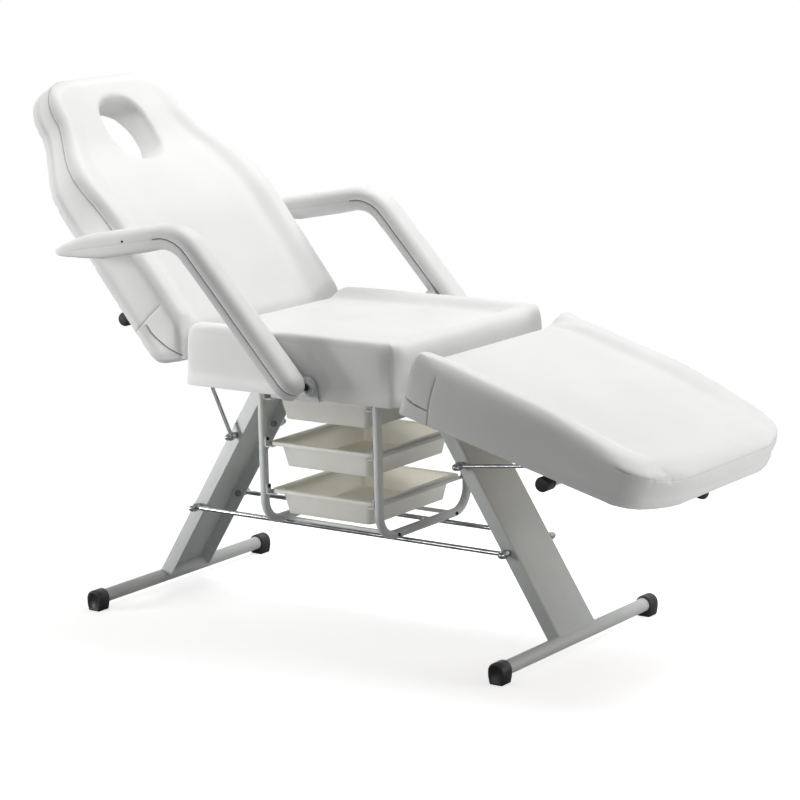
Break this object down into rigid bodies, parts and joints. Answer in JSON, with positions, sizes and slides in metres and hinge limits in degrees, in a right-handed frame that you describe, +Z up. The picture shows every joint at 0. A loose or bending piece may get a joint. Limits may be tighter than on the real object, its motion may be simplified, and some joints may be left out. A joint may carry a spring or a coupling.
{
  "type": "portable massage bed",
  "caption": "White padded bed on a steel frame, with a tilting back with a face hole, a tilting leg rest, lifting arms and sliding trays underneath.",
  "frame": {"origin": "floor level under the middle of the whole bed, halfway between the head end of the back rest and the foot end of the leg rest", "axes": "+X along the bed from its head end towards its foot end, +Z up, Y across the bed, the near arm on -Y"},
  "size_m": [1.6384, 0.746, 1.132],
  "materials": {
    "frame_steel": "satin powder coat",
    "chrome": "polished",
    "rubber": "matte",
    "black_steel": "semi-gloss black",
    "upholstery": "soft satin vinyl",
    "plywood": "raw plywood",
    "tray_plastic": "semi-gloss moulded"
  },
  "bodies": {
    "base": {"head_leg": "frame_steel", "foot_leg": "frame_steel", "head_floor_tube": "frame_steel", "foot_floor_tube": "frame_steel", "floor_feet": "rubber", "near_stretcher": "chrome", "far_stretcher": "chrome", "stretcher_bolts": "chrome", "stay_bolts": "chrome", "dome_nuts": "chrome", "leg_plate_bolts": "black_steel", "near_side_rail": "frame_steel", "far_side_rail": "frame_steel", "cross_rails": "frame_steel", "end_rails": "frame_steel", "seat_board": "plywood", "seat_cushion": "upholstery", "head_bent_tube": "frame_steel", "foot_bent_tube": "frame_steel", "rack_foot_plates": "frame_steel", "rack_cross_bars": "frame_steel", "rack_screws": "black_steel", "top_runners": "frame_steel", "middle_runners": "frame_steel", "bottom_runners": "frame_steel", "back_hinge_ears": "frame_steel", "back_hinge_pins": "chrome", "rest_hinge_ears": "frame_steel", "rest_hinge_pins": "chrome", "arm_mounts": "frame_steel", "arm_bolts": "black_steel"},
    "back_rest": {"back_rails": "frame_steel", "back_cross_rails": "frame_steel", "back_hinge_plates": "frame_steel", "back_racks": "frame_steel", "back_board": "plywood", "back_cushion": "upholstery"},
    "leg_rest": {"rest_rails": "frame_steel", "rest_cross_rails": "frame_steel", "rest_hinge_plates": "frame_steel", "rest_racks": "frame_steel", "rest_board": "plywood", "rest_cushion": "upholstery", "rest_buffer": "rubber"},
    "back_prop": {"back_stays": "chrome", "back_prop_bar": "frame_steel", "back_prop_grips": "rubber"},
    "rest_prop": {"rest_stays": "chrome", "rest_prop_bar": "frame_steel", "rest_prop_grips": "rubber"},
    "near_arm": {"near_arm_bracket": "frame_steel", "near_arm_board": "plywood", "near_arm_pad": "upholstery"},
    "far_arm": {"far_arm_bracket": "frame_steel", "far_arm_board": "plywood", "far_arm_pad": "upholstery"},
    "upper_tray": {"top_tray": "tray_plastic"},
    "mid_tray": {"middle_tray": "tray_plastic"},
    "lower_tray": {"bottom_tray": "tray_plastic"}
  },
  "joints": [
    {"name": "back_recline", "type": "hinge", "parent": "base", "child": "back_rest", "pos_m": [-0.35628, 0, 0.547], "axis": [0, 1, 0], "range_deg": [-51, 0]},
    {"name": "leg_rest_tilt", "type": "hinge", "parent": "base", "child": "leg_rest", "pos_m": [0.22472, 0, 0.512], "axis": [0, -1, 0], "range_deg": [-15.5, 14.5]},
    {"name": "back_prop_swing", "type": "hinge", "parent": "base", "child": "back_prop", "pos_m": [-0.35568, 0, 0.3707], "axis": [0, 1, 0], "range_deg": [-37.8, 0]},
    {"name": "rest_prop_swing", "type": "hinge", "parent": "base", "child": "rest_prop", "pos_m": [0.23512, 0, 0.3707], "axis": [0, -1, 0], "range_deg": [-17.8, 16.6]},
    {"name": "near_arm_lift", "type": "hinge", "parent": "base", "child": "near_arm", "pos_m": [0.01272, -0.303, 0.551], "axis": [0, 1, 0], "range_deg": [0, 100]},
    {"name": "far_arm_lift", "type": "hinge", "parent": "base", "child": "far_arm", "pos_m": [0.01272, 0.303, 0.551], "axis": [0, 1, 0], "range_deg": [0, 100]},
    {"name": "top_tray_slide", "type": "slide", "parent": "base", "child": "upper_tray", "axis": [0, -1, 0], "range_m": [0, 0.2]},
    {"name": "middle_tray_slide", "type": "slide", "parent": "base", "child": "mid_tray", "axis": [0, -1, 0], "range_m": [0, 0.2]},
    {"name": "bottom_tray_slide", "type": "slide", "parent": "base", "child": "lower_tray", "axis": [0, -1, 0], "range_m": [0, 0.2]}
  ],
  "couplings": [
    {"joint": "back_prop_swing", "follows": "back_recline", "ratio": 0.738},
    {"joint": "rest_prop_swing", "follows": "leg_rest_tilt", "ratio": 1.14}
  ]
}
